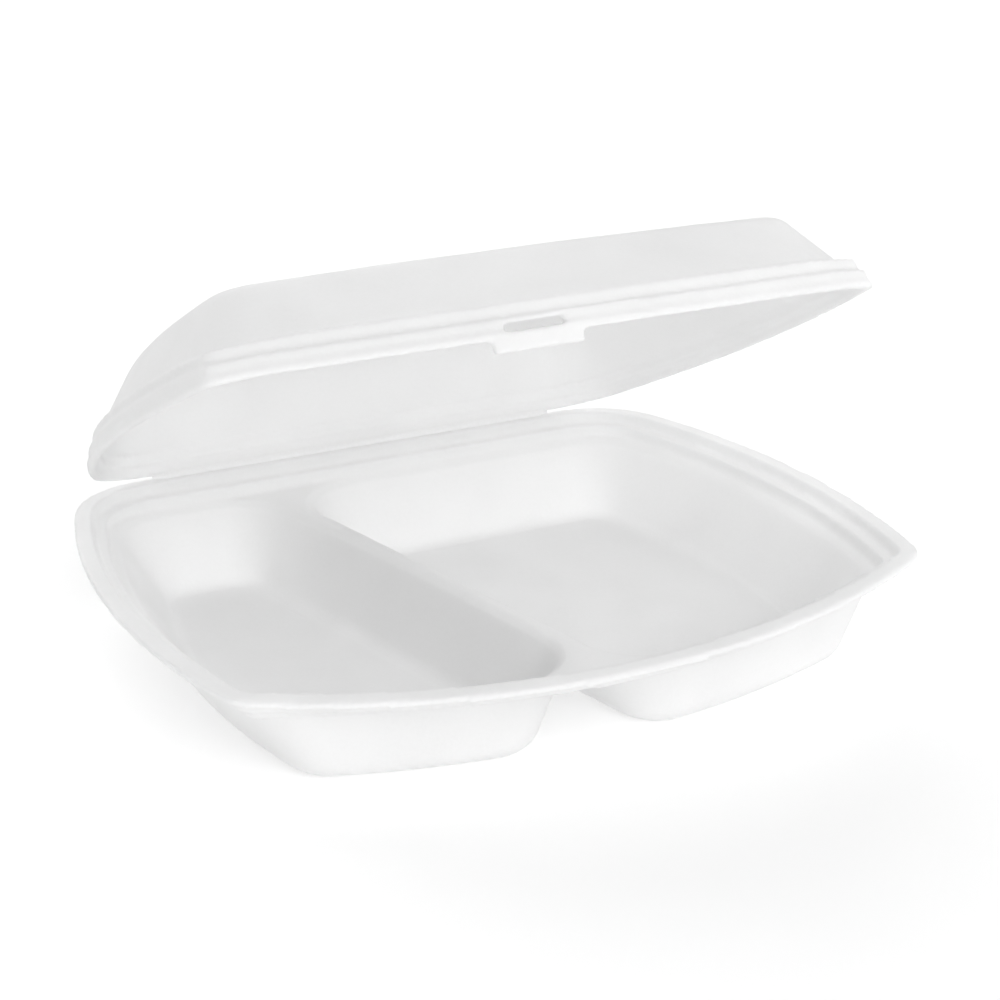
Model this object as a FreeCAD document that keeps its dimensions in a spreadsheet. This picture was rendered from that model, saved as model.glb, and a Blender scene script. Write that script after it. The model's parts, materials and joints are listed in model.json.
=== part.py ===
import FreeCAD, Part
import math
import os

# A two-compartment foam clamshell box: one thermoformed sheet, folded along a crushed hinge line at the back.
# Millimetres and degrees. +X is to the right seen from the front, the front faces -Y, +Z is up.
# The origin is on the table, below the middle of the box. The lid stands open.

V = FreeCAD.Vector

# Driving dimensions: alias, value, what it measures
SIZES = (
    ("rim_width_back", 198.0, "between the tray rim's two rear corners, before rounding"),
    ("rim_width_front", 222.0, "between the tray rim's two front corners, before rounding"),
    ("rim_depth", 170.0, "from the hinge line to the front corners"),
    ("side_bow", 14.5, "how far each side of the rim bulges outwards"),
    ("front_bow", 25.0, "how far the front of the rim bulges outwards"),
    ("front_dip", 4.0, "how far the middle of the rim's front edge dips"),
    ("rear_corner_radius", 30.0, "tray rim's corner beside the hinge"),
    ("front_corner_radius", 12.0, "tray rim's corner at the front"),
    ("sheet", 2.2, "thickness of the foam sheet"),
    ("tray_height", 33.0, "table to the top of the tray's rim"),
    ("lid_height", 28.5, "lid's rim plane to the top of the lid"),
    ("rim_clearance", 0.3, "gap between the two rims when the box is shut"),
    ("crease_gap", 0.4, "hinge line to the rear edge of either rim"),
    ("riser_slope", 0.8, "how far each step of either rim leans inwards"),
    ("flange_width", 5.5, "flat lip round the tray"),
    ("upper_riser", 3.6, "height of the tray rim's first step"),
    ("upper_ledge", 3.6, "flat of the tray rim's first step"),
    ("lower_riser", 3.9, "height of the tray rim's second step"),
    ("lower_ledge", 2.2, "flat of the tray rim's second step"),
    ("lid_flange", 2.6, "flat lip round the lid"),
    ("lid_first_riser", 3.6, "height of the lid rim's first step"),
    ("lid_first_ledge", 1.2, "flat of the lid rim's first step"),
    ("lid_second_riser", 4.0, "height of the lid rim's second step"),
    ("lid_second_ledge", 1.0, "flat of the lid rim's second step"),
    ("wall_lean", 33.0, "lean of the tray's back and side walls"),
    ("front_lean", 10.0, "lean of the tray's front walls"),
    ("divider_lean", 28.0, "lean of the divider's two faces"),
    ("lid_lean", 29.0, "lean of the lid's walls"),
    ("mouth_corner_radius", 20.0, "corners of the compartment mouths and of the lid's dome"),
    ("floor_corner_radius", 12.0, "corners of the compartment floors and of the lid's top"),
    ("floor_round", 5.5, "inner rounding between wall and floor"),
    ("mouth_bevel", 1.6, "soft edge round each compartment's mouth"),
    ("crest_width", 9.0, "divider between the compartments, at its ends"),
    ("crest_back", -38.5, "divider's middle at the back, across the box"),
    ("crest_front", -4.0, "divider's middle at the front, across the box"),
    ("crest_bow", 3.5, "how far the left compartment bulges into the divider"),
    ("crown_side_bow", 7.0, "how far the sides of the lid's top bulge"),
    ("crown_front_bow", 3.0, "how far the front of the lid's top bulges"),
    ("open_angle", 28.0, "how far the lid stands open"),
    ("latch_across", -19.5, "middle of the latch slot and the tongue, across the box"),
    ("slot_width", 18.0, "latch slot in the front of the lid"),
    ("slot_height", 2.4, "latch slot in the front of the lid"),
    ("tongue_width", 26.0, "tongue that hangs from the lid's front edge"),
)

# Alternate projection closes in on the crossing of two sides well before this many steps
SETTLING_STEPS = 400
# A rim corner stays at least this round however far in it is drawn
SMALLEST_RADIUS = 5.0
# Two heights closer than this are the same level
LEVEL_TOLERANCE = 0.001
# Half the span of a box that holds one half of the container
REACH = 1000.0
# Cutting shapes run past the surface they open by this much
OVERRUN = 8.0
# The soft edge of a mouth leans inwards this much for each millimetre down
BEVEL_SLOPE = 1.65
# The soft edge's cutting shape goes down this many times its width, well inside the wall
BEVEL_DEPTH = 1.5
# The latch slot's cutting box runs inwards by this many times the sheet's thickness
SLOT_SHEETS = 4


def fill_sheet(doc):
    """Put the driving dimensions into the document's spreadsheet."""
    sheet = doc.addObject("Spreadsheet::Sheet", "dimensions")
    for row, (alias, value, meaning) in enumerate(SIZES, start=1):
        sheet.set(f"A{row}", alias)
        sheet.set(f"B{row}", str(value))
        sheet.set(f"C{row}", meaning)
        sheet.setAlias(f"B{row}", alias)
    doc.recompute()
    return sheet


class Side:
    """One side of an outline: a straight line, or an arc that bulges outwards. Corners run anticlockwise."""

    def __init__(self, start, end, bow, offset):
        half = (end - start).Length / 2
        self.start = start
        self.along = (end - start).normalize()
        self.inward = V(-self.along.y, self.along.x, 0)
        self.offset = offset
        self.radius = (half * half + bow * bow) / (2 * bow) if bow > 0 else None
        if self.radius:
            self.centre = (start + end) * 0.5 + self.inward * (self.radius - bow)

    def nearest(self, point, inset):
        """The point of this side, moved inwards by inset, that is nearest to the given point."""
        depth = self.offset + inset
        if not self.radius:
            run = (point - self.start).dot(self.along)
            return self.start + self.along * run + self.inward * depth
        out = (point - self.centre).normalize()
        return self.centre + out * (self.radius - depth)

    def edge(self, start, end, inset):
        """The stretch of this side, moved inwards by inset, between two of its points."""
        if not self.radius:
            return Part.makeLine(start, end)
        lift = V(0, 0, start.z)
        halfway = self.nearest((start + end) * 0.5 - lift, inset) + lift
        return Part.Arc(start, halfway, end).toShape()

    def bow_between(self, start, end, inset):
        """How far this side, moved inwards by inset, bulges between two of its points."""
        radius = self.radius - self.offset - inset
        half = (end - start).Length / 2
        return radius - math.sqrt(radius * radius - half * half)

    def at_x(self, x, inset):
        """The frontmost point of this side, moved inwards by inset, at a place across the box."""
        radius = self.radius - self.offset - inset
        return V(x, self.centre.y - math.sqrt(radius * radius - (x - self.centre.x) ** 2), 0)


class Outline:
    """A closed outline of bowed sides with rounded corners, which can be drawn at any inset and height."""

    def __init__(self, corners, bows, radii, offsets=(0, 0, 0, 0)):
        self.corners = corners
        self.bows = bows
        self.radii = radii
        ends = corners[1:] + corners[:1]
        self.sides = [Side(*parts) for parts in zip(corners, ends, bows, offsets)]

    def meeting(self, index, inset):
        """The point at the same inset from the two sides that meet at a corner."""
        point = V(self.corners[index])
        for _ in range(SETTLING_STEPS):
            point = self.sides[index - 1].nearest(point, inset)
            point = self.sides[index].nearest(point, inset)
        return point

    def wire(self, inset, z, radii=None):
        """The outline as a wire at a height, moved inwards by inset."""
        radii = radii or [max(radius - inset, SMALLEST_RADIUS) for radius in self.radii]
        lift = V(0, 0, z)
        rounds = []
        for index, radius in enumerate(radii):
            centre = self.meeting(index, inset + radius)
            leave = self.sides[index - 1].nearest(centre, inset)
            enter = self.sides[index].nearest(centre, inset)
            middle = centre + ((leave + enter) * 0.5 - centre).normalize() * radius
            rounds.append((leave + lift, middle + lift, enter + lift))
        edges = []
        for index, (leave, middle, enter) in enumerate(rounds):
            following = rounds[(index + 1) % len(rounds)][0]
            edges.append(Part.Arc(leave, middle, enter).toShape())
            edges.append(self.sides[index].edge(enter, following, inset))
        return Part.Wire(edges)


def rim_outline(size, nest=0.0):
    """The rim seen from above, the hinge line at y = 0. Nest moves its sides and front inwards."""
    back = -size["crease_gap"]
    front = -size["rim_depth"]
    half_back = size["rim_width_back"] / 2
    half_front = size["rim_width_front"] / 2
    rear_corners = [V(half_back, back, 0), V(-half_back, back, 0)]
    corners = rear_corners + [V(-half_front, front, 0), V(half_front, front, 0)]
    bows = [0, size["side_bow"], size["front_bow"], size["side_bow"]]
    rear = size["rear_corner_radius"] - nest
    nose = size["front_corner_radius"] - nest
    return Outline(corners, bows, [rear, rear, nose, nose], (0, nest, nest, nest))


def step_bends(size, lip, risers, ledges):
    """The inner surface of a stepped rim as (inset, depth below its lip) at each bend."""
    bends = [(lip, 0.0)]
    for riser, ledge in zip(risers, ledges):
        inset, depth = bends[-1]
        bends.append((inset + size["riser_slope"], depth + riser))
        bends.append((inset + size["riser_slope"] + ledge, depth + riser))
    return bends


def tray_bends(size):
    """The bends of the tray's rim."""
    risers = (size["upper_riser"], size["lower_riser"])
    return step_bends(size, size["flange_width"], risers, (size["upper_ledge"], size["lower_ledge"]))


def lid_bends(size):
    """The bends of the lid's rim."""
    risers = (size["lid_first_riser"], size["lid_second_riser"])
    return step_bends(size, size["lid_flange"], risers, (size["lid_first_ledge"], size["lid_second_ledge"]))


def slab(outline, low, high):
    """A solid between the outline at two insets and heights, each given as (inset, z)."""
    return Part.makeLoft([outline.wire(*low), outline.wire(*high)], True, True)


def riser(size, outline, head, foot):
    """The outer form and the hollow of one step, which goes down from one bend to the next."""
    sheet = size["sheet"]
    outer = slab(outline, (foot[0] - sheet, -foot[1] - sheet), (head[0] - sheet, -head[1]))
    return outer, slab(outline, (foot[0], -foot[1]), (head[0], -head[1]))


def lip(size, outline, head):
    """The flat lip, and the room above the opening inside it."""
    return slab(outline, (0, -size["sheet"]), (0, 0)), slab(outline, (head[0], 0), (head[0], OVERRUN))


def dipped(size, shape, way):
    """The shape with what lies in front of the front corners sloping towards the dipped front edge."""
    chord = -size["rim_depth"]
    span = 2 * REACH
    behind = Part.makeBox(span, span, span, V(-REACH, chord, -REACH))
    ahead = Part.makeBox(span, span, span, V(-REACH, chord - span, -REACH))
    slope = way * size["front_dip"] / size["front_bow"]
    shear = FreeCAD.Matrix()
    shear.A32 = slope
    shear.A34 = -slope * chord
    front = shape.common(ahead).transformGeometry(shear)
    return shape.common(behind).fuse(front)


def lowest_edges(shape):
    """The edges that lie in the shape's lowest plane."""
    limit = shape.BoundBox.ZMin + LEVEL_TOLERANCE
    return [edge for edge in shape.Edges if edge.BoundBox.ZMax < limit]


class Bowl:
    """A drafted bowl below a mouth. Each of its four walls has a lean of its own."""

    def __init__(self, size, mouth, leans, top):
        self.size = size
        self.mouth = mouth
        self.top = top
        self.slopes = [math.tan(math.radians(lean)) for lean in leans]
        self.walls = [size["sheet"] / math.cos(math.radians(lean)) for lean in leans]

    def moved(self, fall, outside):
        """The mouth's outline lower down, on the inner or the outer surface."""
        thickness = self.walls if outside else [0.0] * len(self.walls)
        offsets = [fall * slope - wall for slope, wall in zip(self.slopes, thickness)]
        return Outline(self.mouth.corners, self.mouth.bows, None, offsets)

    def foot(self, fall, outside):
        """The outline round the floor."""
        return self.moved(fall, outside)

    def form(self, bottom, reach, outside):
        """The bowl's hollow or its outer form down to a height, and straight up from its mouth by reach."""
        size = self.size
        extra = size["sheet"] if outside else 0.0
        fall = self.top - bottom - (size["sheet"] if outside else 0.0)
        corners = len(self.mouth.corners)
        wide = [size["mouth_corner_radius"] + extra] * corners
        tight = [size["floor_corner_radius"] + extra] * corners
        rim = self.moved(0.0, outside)
        low = self.foot(fall, outside).wire(0.0, bottom, tight)
        high = rim.wire(0.0, self.top, wide)
        solid = Part.makeLoft([low, high], True, True)
        solid = solid.makeFillet(size["floor_round"] + extra, lowest_edges(solid))
        if not reach:
            return solid
        return solid.fuse(Part.makeLoft([high, rim.wire(0.0, self.top + reach, wide)], True, True))

    def bevel(self):
        """The room that the soft edge of the mouth leaves open."""
        width = self.size["mouth_bevel"]
        fall = BEVEL_DEPTH * width
        inset = BEVEL_SLOPE * fall - width
        radius = self.size["mouth_corner_radius"]
        corners = len(self.mouth.corners)
        rim = self.moved(0.0, False)
        low = rim.wire(inset, self.top - fall, [radius - inset] * corners)
        high = rim.wire(-width, self.top, [radius + width] * corners)
        return Part.makeLoft([low, high], True, True)

    def pair(self, bottom, reach=0.0):
        """The outer form down to a height, and the hollow that leaves the sheet between them."""
        return self.form(bottom, reach, True), self.form(bottom + self.size["sheet"], reach, False)


class Dome(Bowl):
    """A bowl whose floor has bows of its own."""

    def __init__(self, size, mouth, leans, top, floor_bows):
        super().__init__(size, mouth, leans, top)
        self.floor_bows = floor_bows

    def foot(self, fall, outside):
        """The outline round the floor."""
        slope, wall = self.slopes[0], self.walls[0] if outside else 0.0
        count = len(self.mouth.corners)
        straight = Outline(self.mouth.corners, [0] * count, None)
        corners = [straight.meeting(index, fall * slope) for index in range(count)]
        return Outline(corners, self.floor_bows, None, [-wall] * count)


def compartments(size):
    """The two compartments, left and right, beside the slanted divider."""
    rim = rim_outline(size)
    inset, depth = tray_bends(size)[-1]
    corners = [rim.meeting(index, inset) for index in range(len(rim.corners))]
    rear_right, rear_left, front_left, front_right = corners
    left_side, front = rim.sides[1:3]
    half = size["crest_width"] / 2
    rear = [V(size["crest_back"] + aside, rear_left.y, 0) for aside in (-half, half)]
    fore = [front.at_x(size["crest_front"] + aside, inset) for aside in (-half, half)]
    side = left_side.bow_between(rear_left, front_left, inset)
    left_bows = [0, side, front.bow_between(front_left, fore[0], inset), size["crest_bow"]]
    right_bows = [0, 0, front.bow_between(fore[1], front_right, inset), side]
    left = Outline([rear[0], rear_left, front_left, fore[0]], left_bows, None)
    right = Outline([rear_right, rear[1], fore[1], front_right], right_bows, None)
    wall, nose, divider = size["wall_lean"], size["front_lean"], size["divider_lean"]
    return (
        Bowl(size, left, (wall, wall, nose, divider), -depth),
        Bowl(size, right, (wall, divider, nose, wall), -depth),
    )


def tray_shape(size):
    """The tray, the hinge line at its origin: two compartments with an open tunnel between them."""
    rim = rim_outline(size)
    bends = tray_bends(size)
    flange, mouth = lip(size, rim, bends[0])
    upper, upper_hollow = riser(size, rim, bends[0], bends[1])
    lower, lower_hollow = riser(size, rim, bends[2], bends[3])
    outer = dipped(size, flange.fuse(upper), 1).fuse(lower)
    hollow = dipped(size, mouth.fuse(upper_hollow), 1).fuse(lower_hollow)
    for bowl in compartments(size):
        body, room = bowl.pair(-size["tray_height"])
        outer = outer.fuse(body)
        hollow = hollow.multiFuse([room, bowl.bevel()])
    return moved_up(outer.cut(hollow), -size["rim_clearance"] / 2)


def lid_shape(size):
    """The lid as it lies when shut, the hinge line at its origin: one drafted dome over both compartments."""
    rim = rim_outline(size, nest_inset(size))
    bends = lid_bends(size)
    flange, mouth = lip(size, rim, bends[0])
    upper, upper_hollow = riser(size, rim, bends[0], bends[1])
    lower, lower_hollow = riser(size, rim, bends[2], bends[3])
    rim_form = flange.multiFuse([upper, lower])
    hollow = dipped(size, mouth.multiFuse([upper_hollow, lower_hollow]), -1)
    inset, depth = bends[-1]
    corners = [rim.meeting(index, inset) for index in range(len(rim.corners))]
    side = rim.sides[1].bow_between(corners[1], corners[2], inset)
    front = rim.sides[2].bow_between(corners[2], corners[3], inset)
    crown_bows = [0, size["crown_side_bow"], size["crown_front_bow"], size["crown_side_bow"]]
    mouth_outline = Outline(corners, [0, side, front, side], None)
    dome = Dome(size, mouth_outline, [size["lid_lean"]] * len(corners), -depth, crown_bows)
    body, room = dome.pair(-size["lid_height"], size["front_dip"])
    shell = dipped(size, rim_form, -1).fuse(body).cut(hollow.fuse(room))
    shell = shell.fuse(dipped(size, tongue(size, rim), -1))
    return moved_up(shell.mirror(V(0, 0, 0), V(0, 0, 1)), size["rim_clearance"] / 2)


def tongue(size, rim):
    """The tongue at the middle of the lid's front edge. It reaches down to the tray's first ledge."""
    drop = size["upper_riser"]
    plate = slab(rim, (0, 0), (0, drop)).cut(slab(rim, (size["sheet"], 0), (size["sheet"], drop)))
    width = size["tongue_width"]
    left = size["latch_across"] - width / 2
    return plate.common(Part.makeBox(width, REACH, drop, V(left, -size["rim_depth"] - REACH, 0)))


def nest_inset(size):
    """How far the lid's edge lies inside the tray's, so that it drops inside the tray's flange."""
    return size["flange_width"] + size["riser_slope"] + size["rim_clearance"]


def moved_up(shape, height):
    """The one solid of a shape, moved up."""
    shift = FreeCAD.Matrix()
    shift.A34 = height
    return shape.Solids[0].transformed(shift, copy=True)


def add_sheet(doc, name, shape):
    """A formed sheet as an object of the document."""
    feature = doc.addObject("Part::Feature", name)
    feature.Shape = shape
    return feature


def add_slot(doc):
    """The latch slot through the first step of the lid's front."""
    slot = doc.addObject("Part::Box", "latch_slot")
    slot.setExpression("Length", "dimensions.slot_width")
    slot.setExpression("Width", f"dimensions.sheet * {SLOT_SHEETS}")
    slot.setExpression("Height", "dimensions.slot_height")
    slot.setExpression("Placement.Base.x", "dimensions.latch_across - dimensions.slot_width / 2")
    nest = "dimensions.flange_width + dimensions.riser_slope + dimensions.rim_clearance"
    slot.setExpression("Placement.Base.y", f"{nest} - dimensions.rim_depth - dimensions.front_bow")
    above = "dimensions.rim_clearance / 2 + dimensions.sheet"
    dip = f"dimensions.front_dip * (1 - ({nest}) / dimensions.front_bow)"
    slot.setExpression("Placement.Base.z", f"{above} - {dip}")
    return slot


def place_on_hinge(part):
    """Put a half's origin on the hinge line, which lies above the table at the back of the box."""
    part.setExpression("Placement.Base.y", "(dimensions.rim_depth + dimensions.front_bow) / 2")
    part.setExpression("Placement.Base.z", "dimensions.tray_height + dimensions.rim_clearance / 2")


def add_tray(doc, size):
    """The tray, standing on the table."""
    tray = add_sheet(doc, "tray", tray_shape(size))
    tray.Label = "tray"
    place_on_hinge(tray)
    return tray


def add_lid(doc, size):
    """The lid with its latch slot, turned open on the hinge line."""
    lid = doc.addObject("Part::Cut", "lid")
    lid.Base = add_sheet(doc, "lid_sheet", lid_shape(size))
    lid.Tool = add_slot(doc)
    lid.Label = "lid"
    lid.Placement = FreeCAD.Placement(V(0, 0, 0), V(-1, 0, 0), size["open_angle"])
    place_on_hinge(lid)
    lid.setExpression("Placement.Rotation.Angle", "dimensions.open_angle")
    return lid


def check(doc, parts):
    """Stop if any object failed or any sub-part isn't one valid solid."""
    failed = [item.Name for item in doc.Objects if {"Invalid", "Error"} & set(item.State)]
    if failed:
        raise RuntimeError(f"objects that failed: {failed}")
    for part in parts:
        if part.Shape.isNull() or not part.Shape.isValid() or len(part.Shape.Solids) != 1:
            raise RuntimeError(f"{part.Label} isn't one valid solid")


def build():
    """Make the document, check it and write one file for each sub-part."""
    doc = FreeCAD.newDocument("foam_clamshell")
    sheet = fill_sheet(doc)
    size = {alias: float(sheet.get(alias)) for alias, _, _ in SIZES}
    parts = (add_tray(doc, size), add_lid(doc, size))
    doc.recompute()
    check(doc, parts)
    os.makedirs("parts", exist_ok=True)
    for part in parts:
        part.Shape.exportStep(f"parts/{part.Label}.step")
        print(part.Label, part.Shape.ShapeType, round(part.Shape.Volume), part.Placement)


build()
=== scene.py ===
"""Looks for a two-compartment foam clamshell box that stands open.

Metres, in the frame of its CAD model.
"""

import json
import logging
import math
from dataclasses import dataclass
from enum import Enum

import bpy
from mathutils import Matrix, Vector

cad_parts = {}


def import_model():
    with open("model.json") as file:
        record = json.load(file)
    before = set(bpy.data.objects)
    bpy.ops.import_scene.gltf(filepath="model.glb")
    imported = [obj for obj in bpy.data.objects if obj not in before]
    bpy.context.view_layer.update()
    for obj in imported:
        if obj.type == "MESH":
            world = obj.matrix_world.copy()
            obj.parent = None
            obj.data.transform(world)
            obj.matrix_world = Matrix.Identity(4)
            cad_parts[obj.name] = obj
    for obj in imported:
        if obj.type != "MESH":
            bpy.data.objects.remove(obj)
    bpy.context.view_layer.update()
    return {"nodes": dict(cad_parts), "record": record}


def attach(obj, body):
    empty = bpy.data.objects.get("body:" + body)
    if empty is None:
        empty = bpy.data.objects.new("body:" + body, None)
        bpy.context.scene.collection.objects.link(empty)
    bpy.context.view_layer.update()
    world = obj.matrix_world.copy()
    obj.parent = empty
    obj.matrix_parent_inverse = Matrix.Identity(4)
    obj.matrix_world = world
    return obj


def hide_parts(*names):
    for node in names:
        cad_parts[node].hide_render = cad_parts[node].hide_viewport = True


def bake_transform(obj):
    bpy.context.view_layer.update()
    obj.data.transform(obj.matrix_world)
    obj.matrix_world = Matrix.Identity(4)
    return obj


LOG = logging.getLogger("foam_clamshell")
MM = 0.001
WHITE = (1.0, 1.0, 1.0, 1.0)
MERGE_DISTANCE = 0.002 * MM


class Half(Enum):
    """The two halves of the folded sheet. Each is a node and a body of the same name."""

    TRAY = "tray"
    LID = "lid"


def select_only(piece: bpy.types.Object) -> None:
    """Make one object the only selected one, and the active one.

    Args:
        piece: The object to select.
    """
    if bpy.context.object and bpy.context.object.mode != "OBJECT":
        bpy.ops.object.mode_set(mode="OBJECT")
    bpy.ops.object.select_all(action="DESELECT")
    piece.select_set(True)
    bpy.context.view_layer.objects.active = piece


def apply_modifier(piece: bpy.types.Object, kind: str, **settings: object) -> None:
    """Add a modifier with its settings and apply it at once.

    Args:
        piece: The object to change.
        kind: The modifier's type.
        **settings: The modifier's properties and their values.
    """
    select_only(piece)
    modifier = piece.modifiers.new(kind.lower(), kind)
    for name, value in settings.items():
        setattr(modifier, name, value)
    bpy.ops.object.modifier_apply(modifier=modifier.name)


@dataclass(frozen=True)
class ExpandedFoam:
    """White expanded foam sheet with a satin skin: fine closed cells, shallow pits and faint flow marks.

    Lengths are in metres. Shares and the other values are the shader's own, from 0 to 1.
    """

    name: str = "expanded_foam"
    colour: tuple[float, float, float] = (0.96, 0.96, 0.96)
    shade: tuple[float, float, float] = (0.925, 0.925, 0.925)
    cell: float = 1.1 * MM
    grain: float = 0.9 * MM
    flow: float = 16.0 * MM
    mottle: float = 5.0 * MM
    cell_share: float = 0.45
    flow_share: float = 0.6
    flow_low: float = 0.3
    flow_high: float = 0.75
    roughness_low: float = 0.42
    roughness_high: float = 0.6
    grain_bump: float = 0.22
    mottle_share: float = 0.7
    bump_depth: float = 0.12 * MM
    passing: float = 0.45
    gloss: float = 0.38

    def material(self) -> bpy.types.Material:
        """Make the foam's material.

        Returns:
            The material, which reads Object coordinates only.
        """
        made = bpy.data.materials.new(self.name)
        made.use_nodes = True
        tree = made.node_tree
        shader = tree.nodes["Principled BSDF"]
        place = tree.nodes.new("ShaderNodeTexCoord").outputs["Object"]
        cells = self._cells(tree, place)
        grain = self._noise(tree, place, 1.0 / self.grain)
        mottle = self._noise(tree, place, 1.0 / self.mottle)
        flow = self._noise(tree, place, 1.0 / self.flow)
        white = self._tint(tree, flow, cells)
        relief = self._emboss(tree, grain, mottle)
        tree.links.new(white, shader.inputs["Base Color"])
        tree.links.new(relief, shader.inputs["Normal"])
        self._roughen(tree, shader, mottle)
        shader.inputs["Specular IOR Level"].default_value = self.gloss
        self._let_light_through(tree, shader, white, relief)
        return made

    def _let_light_through(
        self,
        tree: bpy.types.NodeTree,
        shader: bpy.types.Node,
        white: bpy.types.NodeSocket,
        relief: bpy.types.NodeSocket,
    ) -> None:
        """Let the thin sheet pass some of the light that falls on its far side.

        Args:
            tree: The material's node tree.
            shader: The surface shader.
            white: The foam's colour.
            relief: The foam's bumped normal.
        """
        through = tree.nodes.new("ShaderNodeBsdfTranslucent")
        tree.links.new(white, through.inputs["Color"])
        tree.links.new(relief, through.inputs["Normal"])
        both = tree.nodes.new("ShaderNodeMixShader")
        share, sent_back, let_through = both.inputs
        share.default_value = self.passing
        tree.links.new(shader.outputs["BSDF"], sent_back)
        tree.links.new(through.outputs["BSDF"], let_through)
        tree.links.new(both.outputs["Shader"], tree.nodes["Material Output"].inputs["Surface"])

    def _cells(self, tree: bpy.types.NodeTree, place: bpy.types.NodeSocket) -> bpy.types.NodeSocket:
        """Pattern of the foam's closed cells.

        Args:
            tree: The material's node tree.
            place: The coordinates that the pattern follows.

        Returns:
            The distance from each cell's middle.
        """
        cells = tree.nodes.new("ShaderNodeTexVoronoi")
        cells.feature = "F1"
        cells.inputs["Scale"].default_value = 1.0 / self.cell
        tree.links.new(place, cells.inputs["Vector"])
        return cells.outputs["Distance"]

    def _noise(
        self, tree: bpy.types.NodeTree, place: bpy.types.NodeSocket, scale: float
    ) -> bpy.types.NodeSocket:
        """Soft random pattern.

        Args:
            tree: The material's node tree.
            place: The coordinates that the pattern follows.
            scale: Waves for each metre.

        Returns:
            The pattern's value.
        """
        noise = tree.nodes.new("ShaderNodeTexNoise")
        noise.inputs["Scale"].default_value = scale
        noise.inputs["Detail"].default_value = 0.0
        tree.links.new(place, noise.inputs["Vector"])
        return noise.outputs["Fac"]

    def _tint(
        self, tree: bpy.types.NodeTree, flow: bpy.types.NodeSocket, cells: bpy.types.NodeSocket
    ) -> bpy.types.NodeSocket:
        """Vary the white a little along the flow marks and between the cells.

        Args:
            tree: The material's node tree.
            flow: The flow marks' pattern.
            cells: The cells' pattern.

        Returns:
            The foam's colour.
        """
        blend = tree.nodes.new("ShaderNodeMath")
        blend.operation = "MULTIPLY_ADD"
        blend.inputs[1].default_value = self.cell_share
        tree.links.new(cells, blend.inputs[0])
        spread = tree.nodes.new("ShaderNodeMapRange")
        spread.inputs["From Min"].default_value = self.flow_low
        spread.inputs["From Max"].default_value = self.flow_high
        spread.inputs["To Max"].default_value = self.flow_share
        tree.links.new(flow, spread.inputs["Value"])
        tree.links.new(spread.outputs["Result"], blend.inputs[2])
        mix = tree.nodes.new("ShaderNodeMix")
        mix.data_type = "RGBA"
        mix.inputs["A"].default_value = (*self.colour, 1.0)
        mix.inputs["B"].default_value = (*self.shade, 1.0)
        tree.links.new(blend.outputs["Value"], mix.inputs["Factor"])
        return mix.outputs["Result"]

    def _roughen(
        self, tree: bpy.types.NodeTree, shader: bpy.types.Node, mottle: bpy.types.NodeSocket
    ) -> None:
        """Let the satin skin be smoother in some places than in others.

        Args:
            tree: The material's node tree.
            shader: The surface shader.
            mottle: The mottled pattern.
        """
        spread = tree.nodes.new("ShaderNodeMapRange")
        spread.inputs["To Min"].default_value = self.roughness_low
        spread.inputs["To Max"].default_value = self.roughness_high
        tree.links.new(mottle, spread.inputs["Value"])
        tree.links.new(spread.outputs["Result"], shader.inputs["Roughness"])

    def _emboss(
        self, tree: bpy.types.NodeTree, grain: bpy.types.NodeSocket, mottle: bpy.types.NodeSocket
    ) -> bpy.types.NodeSocket:
        """Press the grain and the mottle shallowly into the skin.

        Args:
            tree: The material's node tree.
            grain: The skin's fine grain.
            mottle: The mottled pattern.

        Returns:
            The foam's bumped normal.
        """
        height = tree.nodes.new("ShaderNodeMath")
        height.operation = "MULTIPLY_ADD"
        height.inputs[1].default_value = self.mottle_share
        tree.links.new(mottle, height.inputs[0])
        tree.links.new(grain, height.inputs[2])
        bump = tree.nodes.new("ShaderNodeBump")
        bump.inputs["Strength"].default_value = self.grain_bump
        bump.inputs["Distance"].default_value = self.bump_depth
        tree.links.new(height.outputs["Value"], bump.inputs["Height"])
        return bump.outputs["Normal"]


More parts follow.
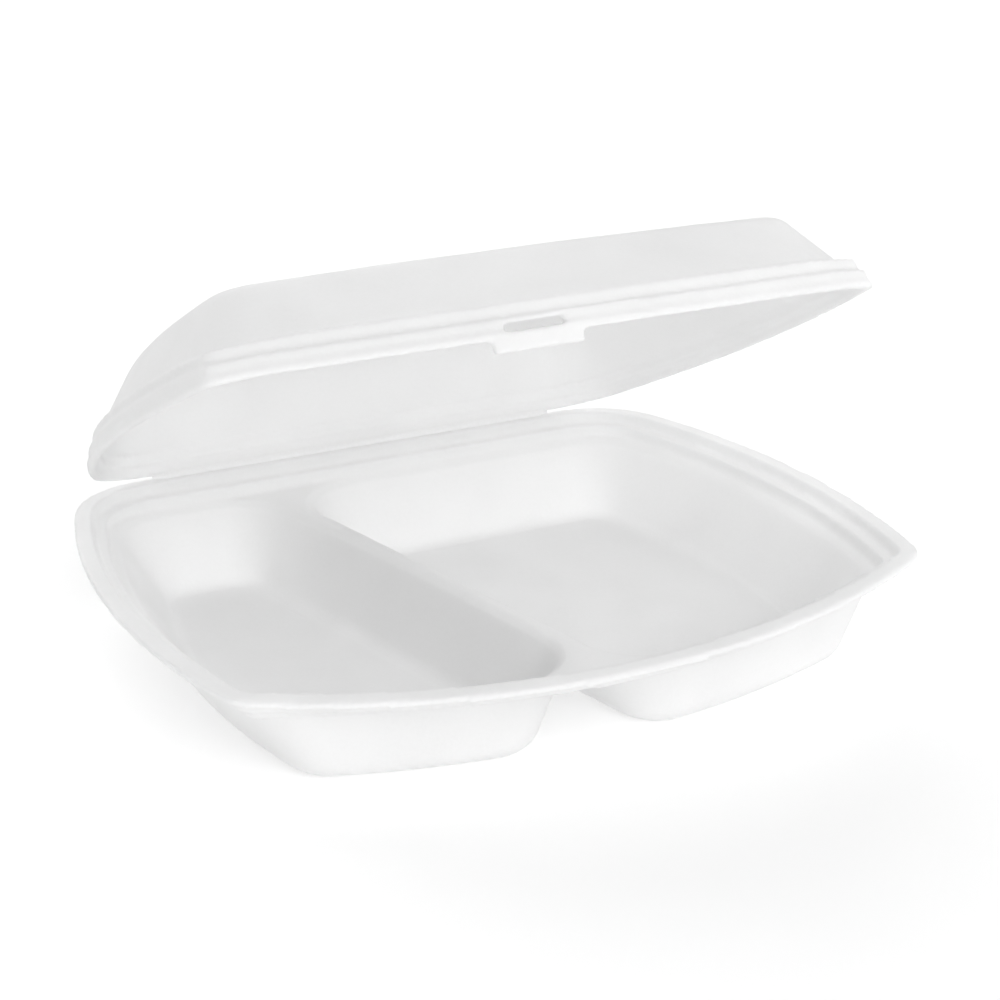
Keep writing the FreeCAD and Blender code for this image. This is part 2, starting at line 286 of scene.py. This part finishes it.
@dataclass
class FormedSheet:
    """One half of the box as a soft-edged sheet with slight waves, made from the CAD node's own shape.

    Lengths are in metres.
    """

    half: Half
    grain: float = 0.75 * MM
    triangles: int = 185_000
    smoothing_rounds: int = 4
    smoothing: float = 0.5
    wave_height: float = 0.25 * MM
    wave_length: float = 28.0 * MM
    wave_layers: int = 1
    still_strip: float = 14.0 * MM
    wave_growth: float = 40.0 * MM

    def build(self, node: bpy.types.Object, hinge: Vector) -> bpy.types.Object:
        """Copy the node, round its edges as foam's are, and let it wave a little.

        Args:
            node: The CAD node's object.
            hinge: A point on the hinge line, at the middle of the box.

        Returns:
            The finished piece.
        """
        piece = self._merged_copy(node)
        apply_modifier(piece, "REMESH", mode="VOXEL", voxel_size=self.grain, use_smooth_shade=True)
        apply_modifier(piece, "SMOOTH", factor=self.smoothing, iterations=self.smoothing_rounds)
        faces = 2 * len(piece.data.polygons)
        if faces > self.triangles:
            apply_modifier(piece, "DECIMATE", ratio=self.triangles / faces)
        self._wave(piece, hinge)
        select_only(piece)
        bpy.ops.object.shade_smooth()
        return piece

    def dress(self, piece: bpy.types.Object, foam: bpy.types.Material) -> None:
        """Give the piece its finish and its body, and let it stand for its node.

        Args:
            piece: The finished piece.
            foam: The foam's material.
        """
        piece.data.materials.clear()
        piece.data.materials.append(foam)
        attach(piece, self.half.value)
        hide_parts(self.half.value)

    def _merged_copy(self, node: bpy.types.Object) -> bpy.types.Object:
        """A copy of the node's mesh with its loose triangles joined.

        Args:
            node: The CAD node's object.

        Returns:
            The copy, in the scene.
        """
        copy = bpy.data.objects.new(f"formed_{self.half.value}", node.data.copy())
        bpy.context.scene.collection.objects.link(copy)
        select_only(copy)
        bpy.ops.object.mode_set(mode="EDIT")
        bpy.ops.mesh.select_all(action="SELECT")
        bpy.ops.mesh.remove_doubles(threshold=MERGE_DISTANCE)
        bpy.ops.object.mode_set(mode="OBJECT")
        return copy

    def _wave(self, piece: bpy.types.Object, hinge: Vector) -> None:
        """Let the sheet wave a little, as thin foam comes off its mould.

        The tray's waves go up and the lid's go down, so that both stay inside the solids' outline. A strip
        along the fold stays still.

        Args:
            piece: The piece to change.
            hinge: A point on the hinge line, at the middle of the box.
        """
        free = piece.vertex_groups.new(name="free")
        for vertex in piece.data.vertices:
            share = (hinge.y - self.still_strip - vertex.co.y) / self.wave_growth
            if share > 0.0:
                free.add([vertex.index], min(share, 1.0), "REPLACE")
        height = self.wave_height if self.half is Half.TRAY else -self.wave_height
        clouds = bpy.data.textures.new(f"waves_{self.half.value}", "CLOUDS")
        clouds.noise_scale = self.wave_length
        clouds.noise_depth = self.wave_layers
        waves = {"strength": height, "mid_level": 0.0, "direction": "Z", "vertex_group": free.name}
        apply_modifier(piece, "DISPLACE", texture=clouds, **waves)
        piece.vertex_groups.clear()


@dataclass
class FoldWeb:
    """The crushed web of foam along the fold, which joins the two rims.

    The section is a closed ring of (y, z) in millimetres from the hinge line. It goes round the back of the
    fold from the tray's rear edge to the lid's, and back along the crease inside the box.
    """

    half_length: float = 74.0 * MM
    steps: int = 37
    soft_edge: float = 0.12 * MM
    edge_segments: int = 2
    smooth_below: float = 50.0
    end_share: float = 0.35
    bend_start: float = -0.1 * MM
    bend_end: float = 0.7 * MM
    section: tuple[tuple[float, float], ...] = (
        (-0.9, -1.9),
        (-0.1, -1.6),
        (0.45, -0.9),
        (0.7, 0.0),
        (0.8, 0.9),
        (0.65, 1.7),
        (0.1, 2.1),
        (-1.2, 1.5),
        (-2.75, 2.0),
        (-2.75, 1.6),
        (-2.45, 1.05),
        (-2.45, 0.45),
        (-2.8, -0.05),
        (-2.8, -0.6),
    )

    def build(self, hinge: Vector) -> bpy.types.Object:
        """Draw the section as a flat face, extrude it along the fold and taper its ends.

        Args:
            hinge: A point on the hinge line, at the middle of the box.

        Returns:
            The finished piece.
        """
        bpy.ops.object.select_all(action="DESELECT")
        corners = len(self.section)
        bpy.ops.mesh.primitive_circle_add(vertices=corners, radius=MM, fill_type="NGON")
        web = bpy.context.object
        web.name = "fold_web"
        start = Vector((-self.half_length, hinge.y, hinge.z))
        for corner, (y, z) in zip(web.data.vertices, self.section):
            corner.co = start + Vector((0.0, y, z)) * MM
        stride = 2.0 * self.half_length / self.steps
        bpy.ops.object.mode_set(mode="EDIT")
        bpy.ops.mesh.select_mode(type="FACE")
        bpy.ops.mesh.select_all(action="SELECT")
        for _ in range(self.steps):
            bpy.ops.mesh.extrude_region_move(TRANSFORM_OT_translate={"value": (stride, 0.0, 0.0)})
        bpy.ops.object.mode_set(mode="OBJECT")
        for corner in web.data.vertices:
            if abs(corner.co.x) > self.half_length - stride / 2.0:
                corner.co.yz = hinge.yz.lerp(corner.co.yz, self.end_share)
        rounding = {"width": self.soft_edge, "segments": self.edge_segments}
        apply_modifier(web, "BEVEL", limit_method="ANGLE", **rounding)
        select_only(web)
        bpy.ops.object.mode_set(mode="EDIT")
        bpy.ops.mesh.select_all(action="SELECT")
        bpy.ops.mesh.remove_doubles(threshold=MERGE_DISTANCE)
        bpy.ops.mesh.normals_make_consistent(inside=False)
        bpy.ops.object.mode_set(mode="OBJECT")
        bpy.ops.object.shade_smooth_by_angle(angle=math.radians(self.smooth_below))
        return web

    def dress(self, web: bpy.types.Object, foam: bpy.types.Material, hinge: Vector) -> None:
        """Give the web its finish and bake its place into its mesh.

        Args:
            web: The finished piece.
            foam: The foam's material.
            hinge: Not used.
        """
        web.data.materials.clear()
        web.data.materials.append(foam)
        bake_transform(web)


@dataclass
class Studio:
    """Plain white studio: a floor, a faint surround, soft lights and the camera.

    Lengths are in metres, and those of the lens and the sensor in millimetres. Angles are in degrees.
    """

    yaw: float = 27.448
    pitch: float = 20.864
    lens: float = 79.409
    sensor: float = 36.0
    nearest: float = 0.01
    eye: tuple[float, float, float] = (-0.28669, -0.56115, 0.28525)
    floor_reach: float = 30.0
    floor_sides: int = 64
    sweep_height: float = 3.5
    floor_tone: float = 0.8
    floor_glow: float = 0.34
    floor_roughness: float = 0.9
    floor_gloss: float = 0.1
    surround: float = 0.02
    spread: float = 60.0
    lights: tuple[tuple[str, tuple[float, float, float], float], ...] = (
        ("front", (0.0, -1.0, 0.2), 1.5),
        ("front_high", (0.0, -0.7, 0.7), 1.5),
        ("right", (1.0, 0.0, 0.4), 1.15),
        ("left", (-1.0, -0.2, 0.4), 0.25),
        ("back", (0.0, 1.0, 0.5), 2.2),
    )

    def build(self) -> None:
        """Make the floor, the surround, the lights and the camera."""
        self._floor()
        self._surround()
        for name, place, power in self.lights:
            self._softbox(name, place, power)
        self._camera()

    def _floor(self) -> None:
        """Lay the pale floor that the box stands on, and turn it up far away."""
        bpy.ops.object.select_all(action="DESELECT")
        middle = (0.0, 0.0, self.sweep_height / 2.0)
        bpy.ops.mesh.primitive_cylinder_add(
            vertices=self.floor_sides, radius=self.floor_reach, depth=self.sweep_height, location=middle
        )
        floor = bpy.context.object
        floor.name = "floor"
        bpy.ops.object.mode_set(mode="EDIT")
        bpy.ops.mesh.select_mode(type="FACE")
        bpy.ops.mesh.select_all(action="DESELECT")
        bpy.ops.object.mode_set(mode="OBJECT")
        for face in floor.data.polygons:
            face.select = face.normal.z > abs(face.normal.x) + abs(face.normal.y)
        bpy.ops.object.mode_set(mode="EDIT")
        bpy.ops.mesh.delete(type="FACE")
        bpy.ops.object.mode_set(mode="OBJECT")
        floor.data.materials.append(self._paper())

    def _paper(self) -> bpy.types.Material:
        """Make the floor's pale paper, with the glow of light from below.

        Returns:
            The material.
        """
        paper = bpy.data.materials.new("pale_floor")
        paper.use_nodes = True
        shader = paper.node_tree.nodes["Principled BSDF"]
        tone = self.floor_tone
        shader.inputs["Base Color"].default_value = (tone, tone, tone, 1.0)
        shader.inputs["Emission Color"].default_value = WHITE
        shader.inputs["Emission Strength"].default_value = self.floor_glow
        shader.inputs["Roughness"].default_value = self.floor_roughness
        shader.inputs["Specular IOR Level"].default_value = self.floor_gloss
        return paper

    def _surround(self) -> None:
        """Light the scene evenly from all round."""
        world = bpy.data.worlds.new("studio")
        world.use_nodes = True
        light = world.node_tree.nodes["Background"]
        light.inputs["Color"].default_value = WHITE
        light.inputs["Strength"].default_value = self.surround
        bpy.context.scene.world = world

    def _softbox(self, name: str, place: tuple[float, float, float], power: float) -> None:
        """Hang one very wide and even light that faces the box from far away.

        Args:
            name: The light's name.
            place: The direction that it comes from.
            power: How bright it is.
        """
        lamp = bpy.data.lights.new(name, "SUN")
        lamp.angle = math.radians(self.spread)
        lamp.energy = power
        stand = bpy.data.objects.new(name, lamp)
        stand.location = place
        stand.rotation_euler = (-Vector(place)).to_track_quat("-Z", "Y").to_euler()
        bpy.context.scene.collection.objects.link(stand)

    def _camera(self) -> None:
        """Set the camera where the photograph was taken from."""
        view = bpy.data.cameras.new("camera")
        view.lens = self.lens
        view.sensor_width = self.sensor
        view.clip_start = self.nearest
        camera = bpy.data.objects.new("camera", view)
        camera.location = self.eye
        camera.rotation_euler = (math.radians(90.0 - self.pitch), 0.0, math.radians(-self.yaw))
        bpy.context.scene.collection.objects.link(camera)
        bpy.context.scene.camera = camera
        bpy.context.scene.view_settings.view_transform = "Standard"


def main() -> None:
    """Build and dress each piece in order."""
    logging.basicConfig(level=logging.INFO, format="%(message)s")
    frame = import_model()
    hinge = Vector(frame["record"]["behaviour"]["joints"][0]["pos_m"])
    Studio().build()
    foam = ExpandedFoam().material()
    for half in Half:
        sheet = FormedSheet(half)
        piece = sheet.build(frame["nodes"][half.value], hinge)
        sheet.dress(piece, foam)
        LOG.info("%s: %d faces", piece.name, len(piece.data.polygons))
    fold = FoldWeb()
    web = fold.build(hinge)
    # The fold web's white is raised from 0.96 to 0.98 as painted glow, standing in for light that shines
    # through the thin fold. Its passing of 0.02 is a real shader setting.
    crushed = ExpandedFoam(name="fold_foam_painted_glow", colour=(0.98, 0.98, 0.98), passing=0.02)
    fold.dress(web, crushed.material(), hinge)
    LOG.info("%s: %d faces", web.name, len(web.data.polygons))


if __name__ == "__main__":
    main()
